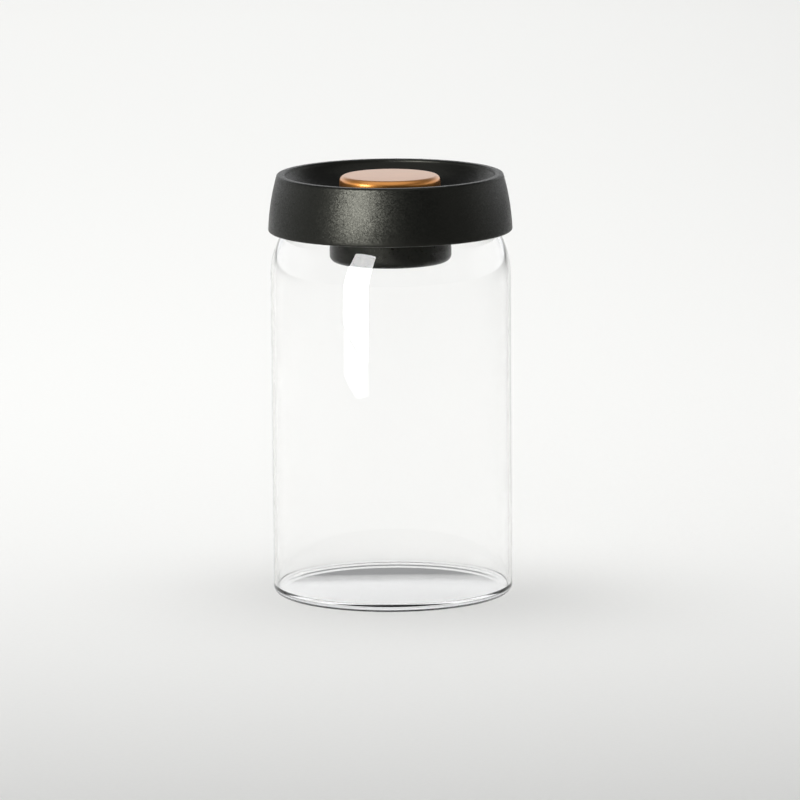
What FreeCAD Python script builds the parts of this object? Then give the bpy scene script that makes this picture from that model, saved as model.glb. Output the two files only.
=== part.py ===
import FreeCAD
import Part
import Sketcher

import math
import os
import re

# A vacuum seal canister: a glass jar and a lid with a press pump.
# Lengths are in millimetres, +Z is up, and the origin is the centre of the jar's foot.

SIZES = {
    # Clearances and the overrun of cuts.
    "run_gap": 0.3,
    "seat_gap": 0.3,
    "fit_gap": 0.2,
    "snug_gap": 0.05,
    "overrun": 1.0,
    # Glass jar.
    "jar_radius": 51.7,
    "jar_wall": 1.7,
    "jar_floor": 3.4,
    "jar_base_round": 2.8,
    "jar_inner_round": 0.6,
    "shoulder_start": 138.0,
    "shoulder_round": 37.0,
    "neck_draw": 5.5,
    "neck_round": 5.0,
    "neck_height": 7.72,
    "mouth_round": 0.7,
    # Outer shell of the lid.
    "lid_overhang": 0.8,
    "lid_height": 24.5,
    "skirt_lean": 3.6,
    "rim_round": 1.1,
    "rim_land": 1.7,
    "rim_depth": 3.4,
    "lip_round": 1.0,
    "skirt_curve": 100.0,
    "skirt_wall": 2.2,
    "skirt_edge_round": 0.8,
    "dish_depth": 9.2,
    "dish_wall": 2.2,
    "dish_land": 3.0,
    "floor_rise": 1.2,
    "floor_edge": 1.4,
    "shell_floor": 2.0,
    "shell_boss_radius": 2.2,
    "shell_boss_height": 7.0,
    "pilot_spare": 0.4,
    "vent_seat_radius": 4.2,
    "vent_seat_rise": 1.5,
    # Plug plate of the lid.
    "plug_depth": 6.8,
    "plug_wall": 3.0,
    "plug_lip": 1.0,
    "plug_lip_height": 2.0,
    "plate_thickness": 3.0,
    "base_flange": 1.8,
    "base_flange_lap": 0.8,
    "spigot_radius": 2.2,
    "spigot_bore": 1.3,
    "spigot_gap": 0.8,
    "spigot_lip": 0.3,
    # Silicone gasket in the jar's mouth.
    "gasket_wall": 1.2,
    "gasket_flange": 1.0,
    "gasket_lap": 0.2,
    "fin_reach": 1.4,
    "fin_base": 1.2,
    "fin_start": 1.6,
    "fin_pitch": 2.4,
    # Screws.
    "screw_head_radius": 1.9,
    "screw_head_height": 1.2,
    "screw_shank_radius": 1.1,
    "lid_screw_length": 7.6,
    "piston_screw_length": 7.0,
    # Pump barrel, its O-ring and the grille under its valve.
    "cylinder_wall": 2.0,
    "cylinder_flange": 2.0,
    "cylinder_flange_lip": 3.8,
    "cup_floor": 3.0,
    "cup_round": 3.0,
    "press_stroke": 8.2,
    "spring_room": 5.5,
    "plateau_wall": 2.0,
    "plateau_web": 2.0,
    "seal_section": 2.0,
    "grille_recess": 4.4,
    "grille_inset": 0.3,
    "grille_thickness": 1.2,
    "grille_hole_radius": 1.3,
    # Guide ring in the dish.
    "sleeve_wall": 1.85,
    "sleeve_drop": 1.9,
    "guide_flange": 1.8,
    "guide_lap": 2.9,
    "guide_chamfer": 0.5,
    # Press button and its core.
    "button_sink": 0.7,
    "button_round": 2.5,
    "button_wall": 1.2,
    "button_crown": 1.3,
    "button_clear": 1.5,
    "core_plate": 2.4,
    "core_skirt": 1.6,
    "core_lift": 1.0,
    "hub_half": 2.8,
    "hub_window_radius": 1.6,
    "hub_window_lift": 3.2,
    # Piston, its lip ring and the mushroom valves.
    "piston_height": 6.0,
    "piston_web": 2.2,
    "piston_gap": 0.8,
    "piston_hollow_gap": 0.5,
    "groove_depth": 2.2,
    "groove_land": 1.2,
    "groove_height": 3.4,
    "lip_leg": 0.8,
    "lip_notch": 1.8,
    "lip_taper": 0.4,
    "valve_disc": 0.9,
    "valve_edge": 0.35,
    "valve_stem": 1.3,
    "valve_bulb": 2.1,
    "valve_bulb_height": 1.3,
    "valve_lift": 0.8,
    "valve_catch_gap": 0.15,
    # Return spring.
    "coil_wire": 1.3,
    "coil_gap": 1.0,
    # Release plug.
    "release_radius": 3.6,
    "release_disc": 1.3,
    "release_round": 0.5,
    "release_waist": 1.7,
    "release_waist_height": 0.9,
    "release_knob": 2.5,
    "release_knob_height": 1.5,
    "release_stem_length": 5.2,
}

# How large the pump is in the jar's mouth, and its inner pieces in the pump.
PUMP_SHARES = {
    "barrel_share": 0.7782,
    "plateau_share": 0.62,
    "grille_hole_share": 0.654,
    "hub_share": 0.506,
    "valve_share": 0.73,
    "vent_circle_share": 0.667,
    "vent_share": 0.15,
}

# Sizes and heights that follow from the driving ones.
LINKS = {
    "neck_radius": "jar_radius - neck_draw",
    "lid_radius": "jar_radius + lid_overhang",
    "rim_radius": "lid_radius - skirt_lean",
    "jar_inner": "jar_radius - jar_wall",
    "neck_inner": "neck_radius - jar_wall",
    "shoulder_centre": "jar_radius - shoulder_round",
    "neck_centre": "neck_radius + neck_round",
    "shoulder_run": "neck_centre - shoulder_centre",
    "shoulder_reach": "shoulder_round + neck_round",
    "shoulder_rise": "sqrt(shoulder_reach ^ 2 - shoulder_run ^ 2)",
    "neck_start": "shoulder_start + shoulder_rise",
    "mouth_height": "neck_start + neck_height",
    "gasket_bottom": "mouth_height + seat_gap",
    "base_flange_bottom": "gasket_bottom + gasket_flange",
    "base_flange_top": "base_flange_bottom + base_flange",
    "shell_floor_bottom": "base_flange_bottom + floor_rise",
    "shell_floor_top": "shell_floor_bottom + shell_floor",
    "dish_floor": "shell_floor_top + guide_flange",
    "lid_top": "dish_floor + dish_depth",
    "lid_bottom": "lid_top - lid_height",
    "plate_top": "base_flange_bottom - plug_depth",
    "plate_bottom": "plate_top - plate_thickness",
    "gasket_foot": "plate_bottom + plug_lip_height",
    "fin_radius": "neck_inner - run_gap",
    "gasket_outer": "fin_radius - fin_reach",
    "gasket_inner": "gasket_outer - gasket_wall",
    "gasket_flange_radius": "neck_radius + gasket_lap",
    "plug_radius": "gasket_inner - snug_gap",
    "plug_inner": "plug_radius - plug_wall",
    "base_flange_radius": "neck_radius + base_flange_lap",
    "sleeve_bottom": "shell_floor_bottom - sleeve_drop",
    "cylinder_flange_radius": "barrel_share * plug_inner",
    "cylinder_radius": "cylinder_flange_radius - cylinder_flange_lip",
    "cylinder_bore": "cylinder_radius - cylinder_wall",
    "sleeve_radius": "cylinder_bore - run_gap",
    "guide_bore": "sleeve_radius - sleeve_wall",
    "button_radius": "guide_bore - run_gap",
    "plateau_radius": "plateau_share * cylinder_bore",
    "grille_radius": "plateau_radius - plateau_wall",
    "grille_hole_circle": "grille_hole_share * grille_radius",
    "piston_screw_circle": "hub_share * button_radius",
    "hub_bore": "piston_screw_circle - hub_half",
    "hub_radius": "piston_screw_circle + hub_half",
    "valve_radius": "valve_share * hub_bore",
    "vent_circle": "vent_circle_share * valve_radius",
    "vent_radius": "vent_share * valve_radius",
    "guide_flange_radius": "sleeve_radius + guide_lap",
    "guide_recess": "guide_flange_radius + fit_gap",
    "shell_bore": "sleeve_radius + fit_gap",
    "cylinder_flange_top": "plate_top + cylinder_flange",
    "cylinder_top": "shell_floor_bottom - snug_gap",
    "seal_circle": "cylinder_radius + cylinder_flange_lip / 2",
    "release_circle": "cylinder_flange_radius + spigot_gap + spigot_radius",
    "dish_foot": "guide_recess + dish_land",
    "lip_radius": "rim_radius - rim_round - rim_land - lip_round",
    "lip_bottom": "lid_top - lip_round",
    "dish_run": "lip_radius - dish_foot",
    "dish_rise": "lip_bottom - dish_floor",
    "dish_round": "(dish_run ^ 2 + dish_rise ^ 2) / (2 * dish_rise)",
    "dish_centre": "dish_floor + dish_round",
    "dish_outer_round": "dish_round + dish_wall",
    "cavity_top": "lid_top - rim_depth",
    "cavity_radius": "dish_foot + sqrt(dish_outer_round ^ 2 - (dish_centre - cavity_top) ^ 2)",
    "skirt_start": "lid_bottom + skirt_edge_round",
    "rim_start": "lid_top - rim_round",
    "skirt_rise": "rim_start - skirt_start",
    "skirt_half": "sqrt(skirt_lean ^ 2 + skirt_rise ^ 2) / 2",
    "skirt_depth": "sqrt(skirt_curve ^ 2 - skirt_half ^ 2) / (2 * skirt_half)",
    "skirt_centre_r": "(lid_radius + rim_radius) / 2 - skirt_depth * skirt_rise",
    "skirt_centre_z": "(skirt_start + rim_start) / 2 - skirt_depth * skirt_lean",
    "skirt_inner_curve": "skirt_curve - skirt_wall",
    "skirt_foot": "skirt_centre_r + sqrt(skirt_inner_curve ^ 2 - (skirt_centre_z - lid_bottom) ^ 2)",
    "skirt_head": "skirt_centre_r + sqrt(skirt_inner_curve ^ 2 - (skirt_centre_z - cavity_top) ^ 2)",
    "lid_screw_circle": "(gasket_inner + gasket_flange_radius) / 2",
    "vent_seat_top": "dish_floor + vent_seat_rise",
    "spigot_top": "vent_seat_top + spigot_lip",
    "release_seat": "spigot_top + seat_gap",
    "release_waist_bottom": "release_seat + release_disc",
    "release_knob_bottom": "release_waist_bottom + release_waist_height",
    "release_top": "release_knob_bottom + release_knob_height",
    "release_stem": "spigot_bore - run_gap",
    "piston_top": "sleeve_bottom - seat_gap",
    "piston_bottom": "piston_top - piston_height",
    "web_bottom": "piston_top - piston_web",
    "piston_radius": "cylinder_bore - piston_gap",
    "piston_hollow": "plateau_radius + piston_hollow_gap",
    "groove_radius": "piston_radius - groove_depth",
    "groove_bottom": "piston_bottom + groove_land",
    "groove_top": "groove_bottom + groove_height",
    "lip_ring_radius": "cylinder_bore - run_gap",
    "lip_ring_inner": "groove_radius + snug_gap",
    "lip_ring_bottom": "groove_bottom + snug_gap",
    "lip_ring_top": "groove_top - snug_gap",
    "cup_floor_top": "piston_bottom - press_stroke - spring_room",
    "cup_bottom": "cup_floor_top - cup_floor",
    "plateau_bottom": "cup_bottom + grille_recess",
    "plateau_top": "plateau_bottom + plateau_web",
    "button_top": "lid_top - button_sink",
    "button_bottom": "sleeve_bottom + button_clear",
    "button_inner": "button_radius - button_wall",
    "button_inner_round": "button_round - button_wall",
    "button_under": "button_top - button_crown",
    "core_radius": "button_inner - snug_gap",
    "core_top": "button_under - snug_gap",
    "core_plate_bottom": "core_top - core_plate",
    "core_bottom": "button_bottom + core_lift",
    "stem_hole": "valve_stem + run_gap",
    "coil_radius": "plateau_radius + coil_gap + coil_wire / 2",
}

LID_SCREW_COUNT = 4
LID_SCREW_TURN = 45
PISTON_SCREW_COUNT = 3
PISTON_SCREW_TURN = 90
VENT_COUNT = 6
FIN_COUNT = 2
GRILLE_HOLE_COUNT = 8
FULL_TURN = 360

# The spring's turns, how much flatter its end turns lie, and the arcs that one turn is drawn with.
COIL_TURNS = 3
COIL_EASE_SHARE = 0.75
COIL_ARCS_PER_TURN = 4
COIL_GAP_SAMPLES_PER_TURN = 60

doc = FreeCAD.newDocument("vacuum_canister")
sheet = doc.addObject("Spreadsheet::Sheet", "sizes")
NAMES = set(SIZES) | set(PUMP_SHARES) | set(LINKS)
# The sub-parts by label, in the order in which they are made.
PIECES = {}


def fill_sheet():
    """Write the driving sizes and the sizes that follow from them, each with its name as alias."""
    cells = {**SIZES, **PUMP_SHARES}
    cells.update({name: "=" + formula for name, formula in LINKS.items()})
    for row, (name, content) in enumerate(cells.items(), start=1):
        sheet.set(f"A{row}", name)
        sheet.set(f"B{row}", str(content))
        sheet.setAlias(f"B{row}", name)
    doc.recompute()


def bound(expression):
    """Return the expression with each size written as a reference to the sheet."""
    return re.sub(
        r"[a-z][a-z_0-9]*",
        lambda word: f"sizes.{word[0]}" if word[0] in NAMES else word[0],
        expression,
    )


def value(expression):
    """Return the number that an expression in sheet sizes stands for now."""
    return float(sheet.evalExpression(bound(expression)))


def origin_feature(body, role):
    """Return one of a body's own origin planes or axes."""
    return next(item for item in body.Origin.OriginFeatures if item.Role == role)


def new_body(label):
    """Add an empty body and list it as a sub-part."""
    body = doc.addObject("PartDesign::Body", label)
    body.Label = label
    PIECES[label] = body
    return body


def new_sketch(body, name, plane, height=None, turn=0):
    """Add a sketch on an origin plane, raised to a height or turned about the upright axis."""
    sketch = body.newObject("Sketcher::SketchObject", name)
    sketch.AttachmentSupport = [(origin_feature(body, plane), "")]
    sketch.MapMode = "FlatFace"
    upright = FreeCAD.Vector(0, 0, 1) if plane == "XY_Plane" else FreeCAD.Vector(0, 1, 0)
    sketch.AttachmentOffset = FreeCAD.Placement(FreeCAD.Vector(), FreeCAD.Rotation(upright, turn))
    if height is not None:
        sketch.setExpression("AttachmentOffset.Base.z", bound(height))
    return sketch


def bind_size(sketch, kind, expression, *where):
    """Add a dimension and tie it to the sheet."""
    index = sketch.addConstraint(Sketcher.Constraint(kind, *where, value(expression)))
    sketch.setExpression(f"Constraints[{index}]", bound(expression))


def bind_point(sketch, curve, end, across, up):
    """Tie a point of a sketch to its place across and up from the origin."""
    for kind, expression, axis in (("DistanceX", across, -2), ("DistanceY", up, -1)):
        if expression == "0":
            sketch.addConstraint(Sketcher.Constraint("PointOnObject", curve, end, axis))
        else:
            bind_size(sketch, kind, expression, -1, 1, curve, end)


def arc_between(tail, head, radius, side):
    """Return the arc of under a half circle from tail to head, its centre left or right of the way."""
    chord = head - tail
    offset = math.sqrt(max(radius ** 2 - (chord.Length / 2) ** 2, 0))
    across = FreeCAD.Vector(-chord.y, chord.x, 0).normalize()
    if side == "right":
        across = across.negative()
    centre = (tail + head) / 2 + across * offset
    first, last = (tail, head) if side == "left" else (head, tail)
    start = math.atan2(first.y - centre.y, first.x - centre.x)
    stop = math.atan2(last.y - centre.y, last.x - centre.x)
    return Part.ArcOfCircle(Part.Circle(centre, FreeCAD.Vector(0, 0, 1), radius), start, stop)


def draw_outline(sketch, steps):
    """Draw a closed outline. A step is a point, with a radius and a side where an arc leads to it."""
    points = [FreeCAD.Vector(value(step[0]), value(step[1]), 0) for step in steps]
    tails_and_heads = []
    for index, step in enumerate(steps):
        tail, head = points[index - 1], points[index]
        if len(step) == 2:
            curve = sketch.addGeometry(Part.LineSegment(tail, head))
            tails_and_heads.append((curve, 1, 2))
            continue
        curve = sketch.addGeometry(arc_between(tail, head, value(step[2]), step[3]))
        tails_and_heads.append((curve, 1, 2) if step[3] == "left" else (curve, 2, 1))
    for index, step in enumerate(steps):
        curve, _, head = tails_and_heads[index]
        next_curve, next_tail, _ = tails_and_heads[(index + 1) % len(steps)]
        sketch.addConstraint(Sketcher.Constraint("Coincident", curve, head, next_curve, next_tail))
        bind_point(sketch, curve, head, step[0], step[1])
        if len(step) > 2:
            bind_size(sketch, "Radius", step[2], curve)


def turned(label, steps):
    """Add a body turned about the upright axis from a half section in radius and height."""
    body = new_body(label)
    sketch = new_sketch(body, f"{label}_outline", "XZ_Plane")
    draw_outline(sketch, steps)
    spin = body.newObject("PartDesign::Revolution", f"{label}_turn")
    spin.Profile = sketch
    spin.ReferenceAxis = (sketch, ["V_Axis"])
    spin.Angle = FULL_TURN
    return body


def add_circle(sketch, across, up, radius):
    """Draw a circle whose centre and radius are tied to the sheet."""
    centre = FreeCAD.Vector(value(across), value(up), 0)
    circle = Part.Circle(centre, FreeCAD.Vector(0, 0, 1), value(radius))
    curve = sketch.addGeometry(circle)
    bind_point(sketch, curve, 3, across, up)
    bind_size(sketch, "Radius", radius, curve)


def repeat(body, feature, count):
    """Repeat a feature evenly round the upright axis."""
    pattern = body.newObject("PartDesign::PolarPattern", f"{feature.Name}_ring")
    pattern.Originals = [feature]
    pattern.Axis = (origin_feature(body, "Z_Axis"), [""])
    pattern.Angle = FULL_TURN
    pattern.Occurrences = count
    body.Tip = pattern
    return pattern


def confirm_cut(body, before):
    """Stop if a cut took nothing off the body."""
    doc.recompute()
    if body.Shape.Volume >= before:
        raise RuntimeError(f"a cut in {body.Label} removed nothing")


def drill(body, name, place, radius, top, bottom, count=1, turn=0):
    """Cut a round hole from a top height down to a bottom height, once or as a ring of holes."""
    doc.recompute()
    before = body.Shape.Volume
    sketch = new_sketch(body, f"{name}_circle", "XY_Plane", top, turn)
    add_circle(sketch, *place, radius)
    hole = body.newObject("PartDesign::Pocket", name)
    hole.Profile = sketch
    hole.setExpression("Length", bound(f"({top}) - ({bottom})"))
    if count > 1:
        repeat(body, hole, count)
    confirm_cut(body, before)


def raise_boss(body, name, place, radius, bottom, top, count=1, turn=0):
    """Add a round boss between two heights, once or as a ring of bosses."""
    sketch = new_sketch(body, f"{name}_circle", "XY_Plane", bottom, turn)
    add_circle(sketch, *place, radius)
    boss = body.newObject("PartDesign::Pad", name)
    boss.Profile = sketch
    boss.setExpression("Length", bound(f"({top}) - ({bottom})"))
    if count > 1:
        repeat(body, boss, count)


def screw_outline(circle, head, length, room):
    """Return half of a countersunk screw, head down at a height, grown by the room around it."""
    neck = f"{head} + screw_head_height"
    tip = f"{head} + {length} + {room}"
    return [
        (circle, head),
        (f"{circle} + screw_head_radius + {room}", head),
        (f"{circle} + screw_shank_radius + {room}", neck),
        (f"{circle} + screw_shank_radius + {room}", f"{tip} - screw_shank_radius"),
        (circle, tip),
    ]


def spin_about(body, name, kind, circle, outline, count, turn):
    """Turn an outline about an upright line at a distance from the centre, as a ring of copies."""
    sketch = new_sketch(body, f"{name}_outline", "XZ_Plane", turn=turn)
    draw_outline(sketch, outline)
    line = Part.LineSegment(
        FreeCAD.Vector(value(circle), value(outline[0][1]), 0),
        FreeCAD.Vector(value(circle), value(outline[-1][1]), 0),
    )
    curve = sketch.addGeometry(line, True)
    bind_point(sketch, curve, 1, circle, outline[0][1])
    bind_point(sketch, curve, 2, circle, outline[-1][1])
    feature = body.newObject(kind, name)
    feature.Profile = sketch
    feature.ReferenceAxis = (sketch, ["Axis0"])
    feature.Angle = FULL_TURN
    repeat(body, feature, count)


def screw_holes(body, name, circle, head, length, count, turn):
    """Cut a ring of countersunk holes that the screws fit snugly."""
    doc.recompute()
    before = body.Shape.Volume
    outline = screw_outline(circle, head, length, "snug_gap")
    spin_about(body, name, "PartDesign::Groove", circle, outline, count, turn)
    confirm_cut(body, before)


def screw_set(label, circle, head, length, count, turn):
    """Add a ring of countersunk screws as one sub-part of separate solids."""
    body = new_body(label)
    body.AllowCompound = True
    outline = screw_outline(circle, head, length, "0")
    spin_about(body, f"{label}_turn", "PartDesign::Revolution", circle, outline, count, turn)


def make_glass_jar():
    """Clear jar: rounded foot, straight wall, drawn-in shoulder and an upright neck."""
    turn_share = "shoulder_run / shoulder_reach"
    rise_share = "shoulder_rise / shoulder_reach"
    inner_shoulder = "(shoulder_round - jar_wall)"
    turned("glass_jar", [
        ("0", "0"),
        ("jar_radius - jar_base_round", "0"),
        ("jar_radius", "jar_base_round", "jar_base_round", "left"),
        ("jar_radius", "shoulder_start"),
        (
            f"shoulder_centre + shoulder_round * {turn_share}",
            f"shoulder_start + shoulder_round * {rise_share}",
            "shoulder_round",
            "left",
        ),
        ("neck_radius", "neck_start", "neck_round", "right"),
        ("neck_radius", "mouth_height - mouth_round"),
        ("neck_radius - mouth_round", "mouth_height", "mouth_round", "left"),
        ("neck_inner + mouth_round", "mouth_height"),
        ("neck_inner", "mouth_height - mouth_round", "mouth_round", "left"),
        ("neck_inner", "neck_start"),
        (
            f"shoulder_centre + {inner_shoulder} * {turn_share}",
            f"shoulder_start + {inner_shoulder} * {rise_share}",
            "neck_round + jar_wall",
            "left",
        ),
        ("jar_inner", "shoulder_start", "shoulder_round - jar_wall", "right"),
        ("jar_inner", "jar_floor + jar_inner_round"),
        ("jar_inner - jar_inner_round", "jar_floor", "jar_inner_round", "right"),
        ("0", "jar_floor"),
    ])


def make_lid_shell():
    """Outer cover: flared skirt, rounded rim, dish round the button, bosses and the vent seat."""
    shell = turned("lid_shell", [
        ("skirt_foot", "lid_bottom", "skirt_inner_curve", "right"),
        ("lid_radius - skirt_edge_round", "lid_bottom"),
        ("lid_radius", "skirt_start", "skirt_edge_round", "left"),
        ("rim_radius", "rim_start", "skirt_curve", "left"),
        ("rim_radius - rim_round", "lid_top", "rim_round", "left"),
        ("rim_radius - rim_round - rim_land", "lid_top"),
        ("lip_radius", "lip_bottom", "lip_round", "left"),
        ("dish_foot", "dish_floor", "dish_round", "right"),
        ("guide_recess", "dish_floor"),
        ("guide_recess", "shell_floor_top"),
        ("shell_bore", "shell_floor_top"),
        ("shell_bore", "shell_floor_bottom"),
        ("cylinder_radius + floor_edge", "shell_floor_bottom"),
        ("dish_foot", "dish_floor - dish_wall"),
        ("cavity_radius", "cavity_top", "dish_outer_round", "left"),
        ("skirt_head", "cavity_top"),
    ])
    raise_boss(
        shell, "shell_boss", ("lid_screw_circle", "0"), "shell_boss_radius",
        "base_flange_top", "base_flange_top + shell_boss_height", LID_SCREW_COUNT, LID_SCREW_TURN,
    )
    drill(
        shell, "shell_pilot", ("lid_screw_circle", "0"), "screw_shank_radius + snug_gap",
        "base_flange_bottom + lid_screw_length + pilot_spare", "base_flange_top - overrun",
        LID_SCREW_COUNT, LID_SCREW_TURN,
    )
    raise_boss(
        shell, "vent_seat", ("0", "-release_circle"), "vent_seat_radius",
        "dish_floor - dish_wall / 4", "vent_seat_top",
    )
    drill(
        shell, "vent_hole", ("0", "-release_circle"), "spigot_radius + fit_gap",
        "vent_seat_top + overrun", "shell_floor_bottom - overrun",
    )


def make_guide_ring():
    """Ring in the dish floor whose sleeve guides the button and stops the piston."""
    turned("guide_ring", [
        ("guide_bore", "sleeve_bottom"),
        ("sleeve_radius", "sleeve_bottom"),
        ("sleeve_radius", "shell_floor_top"),
        ("guide_flange_radius", "shell_floor_top"),
        ("guide_flange_radius", "dish_floor"),
        ("guide_bore + guide_chamfer", "dish_floor"),
        ("guide_bore", "dish_floor - guide_chamfer"),
    ])


def make_lid_base():
    """Plug plate: flange over the jar's mouth, plug wall, groove for the O-ring and vent spigot."""
    groove_half = "(seal_section / 2 + snug_gap)"
    base = turned("lid_base", [
        ("cylinder_radius + run_gap", "plate_bottom"),
        ("plug_radius + plug_lip", "plate_bottom"),
        ("plug_radius + plug_lip", "gasket_foot"),
        ("plug_radius", "gasket_foot"),
        ("plug_radius", "base_flange_bottom"),
        ("base_flange_radius", "base_flange_bottom"),
        ("base_flange_radius", "base_flange_top"),
        ("plug_inner", "base_flange_top"),
        ("plug_inner", "plate_top"),
        (f"seal_circle + {groove_half}", "plate_top"),
        (f"seal_circle + {groove_half}", "plate_top - seal_section - snug_gap"),
        (f"seal_circle - {groove_half}", "plate_top - seal_section - snug_gap"),
        (f"seal_circle - {groove_half}", "plate_top"),
        ("cylinder_radius + run_gap", "plate_top"),
    ])
    raise_boss(
        base, "spigot", ("0", "-release_circle"), "spigot_radius",
        "plate_top - plate_thickness / 2", "spigot_top",
    )
    drill(
        base, "spigot_hole", ("0", "-release_circle"), "spigot_bore",
        "spigot_top + overrun", "plate_bottom - overrun",
    )
    screw_holes(
        base, "base_screw_hole", "lid_screw_circle", "base_flange_bottom", "lid_screw_length",
        LID_SCREW_COUNT, LID_SCREW_TURN,
    )


def make_mouth_gasket():
    """Silicone sleeve on the plug, with two sealing fins and a flange over the jar's mouth."""
    fins = []
    for fin in range(FIN_COUNT):
        middle = f"gasket_foot + fin_start + {fin} * fin_pitch"
        fins += [
            ("gasket_outer", f"{middle} - fin_base / 2"),
            ("fin_radius", middle),
            ("gasket_outer", f"{middle} + fin_base / 2"),
        ]
    turned("mouth_gasket", [
        ("gasket_inner", "gasket_foot"),
        ("gasket_outer", "gasket_foot"),
        *fins,
        ("gasket_outer", "gasket_bottom"),
        ("gasket_flange_radius", "gasket_bottom"),
        ("gasket_flange_radius", "base_flange_bottom"),
        ("gasket_inner", "base_flange_bottom"),
    ])


def make_pump_cylinder():
    """Barrel of the pump: a cup that hangs below the lid, with a raised, vented floor."""
    barrel = turned("pump_cylinder", [
        ("grille_radius", "cup_bottom"),
        ("cylinder_radius - cup_round", "cup_bottom"),
        ("cylinder_radius", "cup_bottom + cup_round", "cup_round", "left"),
        ("cylinder_radius", "plate_top"),
        ("cylinder_flange_radius", "plate_top"),
        ("cylinder_flange_radius", "cylinder_flange_top"),
        ("cylinder_radius", "cylinder_flange_top"),
        ("cylinder_radius", "cylinder_top"),
        ("cylinder_bore", "cylinder_top"),
        ("cylinder_bore", "cup_floor_top"),
        ("plateau_radius", "cup_floor_top"),
        ("plateau_radius", "plateau_top"),
        ("0", "plateau_top"),
        ("0", "plateau_bottom"),
        ("grille_radius", "plateau_bottom"),
    ])
    vent_floor(barrel, "intake", "plateau_top", "plateau_bottom")


def vent_floor(body, name, top, bottom):
    """Cut the stem hole of a mushroom valve and the ring of vents that its disc covers."""
    above, below = f"{top} + overrun", f"{bottom} - overrun"
    drill(body, f"{name}_stem_hole", ("0", "0"), "stem_hole", above, below)
    drill(body, f"{name}_vent", ("vent_circle", "0"), "vent_radius", above, below, VENT_COUNT)


def make_cylinder_seal():
    """O-ring between the barrel's flange and the plug plate."""
    ring = doc.addObject("Part::Torus", "cylinder_seal")
    ring.setExpression("Radius1", bound("seal_circle"))
    ring.setExpression("Radius2", bound("seal_section / 2"))
    ring.setExpression("Placement.Base.z", bound("plate_top - seal_section / 2 - snug_gap / 2"))
    PIECES["cylinder_seal"] = ring


def make_intake_grille():
    """Perforated guard, snapped into the cup's underside below the intake valve."""
    bottom = "cup_bottom + grille_inset"
    top = f"{bottom} + grille_thickness"
    edge = "grille_radius - snug_gap"
    grille = turned("intake_grille", [("0", bottom), (edge, bottom), (edge, top), ("0", top)])
    drill(
        grille, "grille_hole", ("grille_hole_circle", "0"), "grille_hole_radius",
        f"{top} + overrun", f"{bottom} - overrun", GRILLE_HOLE_COUNT,
    )


def make_valve(label, seat, web):
    """Silicone mushroom valve: a disc on its seat, a stem through the web and a bulb below it."""
    under = f"{seat} + snug_gap"
    bulb = f"{seat} - {web} - valve_lift - valve_catch_gap"
    tip = f"{bulb} - valve_bulb_height"
    turned(label, [
        ("0", f"{under} + valve_disc"),
        ("0", tip),
        ("valve_stem", tip),
        ("valve_bulb", f"{bulb} - valve_bulb_height / 2"),
        ("valve_bulb", bulb),
        ("valve_stem", bulb),
        ("valve_stem", under),
        ("valve_radius", under),
        ("valve_radius", f"{under} + valve_edge"),
    ])


def make_piston():
    """Piston: a grooved rim, a hollow underside and a vented web."""
    piston = turned("piston", [
        ("0", "web_bottom"),
        ("piston_hollow", "web_bottom"),
        ("piston_hollow", "piston_bottom"),
        ("piston_radius", "piston_bottom"),
        ("piston_radius", "groove_bottom"),
        ("groove_radius", "groove_bottom"),
        ("groove_radius", "groove_top"),
        ("piston_radius", "groove_top"),
        ("piston_radius", "piston_top"),
        ("0", "piston_top"),
    ])
    vent_floor(piston, "exhaust", "piston_top", "web_bottom")
    screw_holes(
        piston, "piston_screw_hole", "piston_screw_circle", "web_bottom", "piston_screw_length",
        PISTON_SCREW_COUNT, PISTON_SCREW_TURN,
    )


def make_piston_seal():
    """Silicone lip ring in the piston's groove, notched below so that pressure spreads it."""
    middle = "(lip_ring_inner + lip_ring_radius) / 2"
    turned("piston_seal", [
        ("lip_ring_inner", "lip_ring_bottom"),
        ("lip_ring_inner + lip_leg", "lip_ring_bottom"),
        (middle, "lip_ring_bottom + lip_notch"),
        ("lip_ring_radius - lip_leg", "lip_ring_bottom"),
        ("lip_ring_radius", "lip_ring_bottom"),
        ("lip_ring_radius - lip_taper", "lip_ring_top"),
        ("lip_ring_inner", "lip_ring_top"),
    ])


def make_button_core():
    """Carrier in the button: a plate under the crown, a skirt in the cap and a hub for the screws."""
    core = turned("button_core", [
        ("hub_bore", "piston_top"),
        ("hub_radius", "piston_top"),
        ("hub_radius", "core_plate_bottom"),
        ("core_radius - core_skirt", "core_plate_bottom"),
        ("core_radius - core_skirt", "core_bottom"),
        ("core_radius", "core_bottom"),
        ("core_radius", "core_top - button_inner_round"),
        ("core_radius - button_inner_round", "core_top", "button_inner_round", "left"),
        ("hub_bore", "core_top"),
    ])
    drill(
        core, "hub_pilot", ("piston_screw_circle", "0"), "screw_shank_radius + snug_gap",
        "web_bottom + piston_screw_length + pilot_spare", "piston_top - overrun",
        PISTON_SCREW_COUNT, PISTON_SCREW_TURN,
    )
    doc.recompute()
    before = core.Shape.Volume
    sketch = new_sketch(core, "hub_window_circle", "YZ_Plane")
    add_circle(sketch, "0", "piston_top + hub_window_lift", "hub_window_radius")
    window = core.newObject("PartDesign::Pocket", "hub_window")
    window.Profile = sketch
    window.Midplane = True
    window.setExpression("Length", bound("2 * (hub_radius + overrun)"))
    confirm_cut(core, before)


def make_press_button():
    """Metal cap of the button: flat top, rounded edge and an upright skirt."""
    turned("press_button", [
        ("0", "button_under"),
        ("button_inner - button_inner_round", "button_under"),
        ("button_inner", "button_under - button_inner_round", "button_inner_round", "right"),
        ("button_inner", "button_bottom"),
        ("button_radius", "button_bottom"),
        ("button_radius", "button_top - button_round"),
        ("button_radius - button_round", "button_top", "button_round", "left"),
        ("0", "button_top"),
    ])


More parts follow.
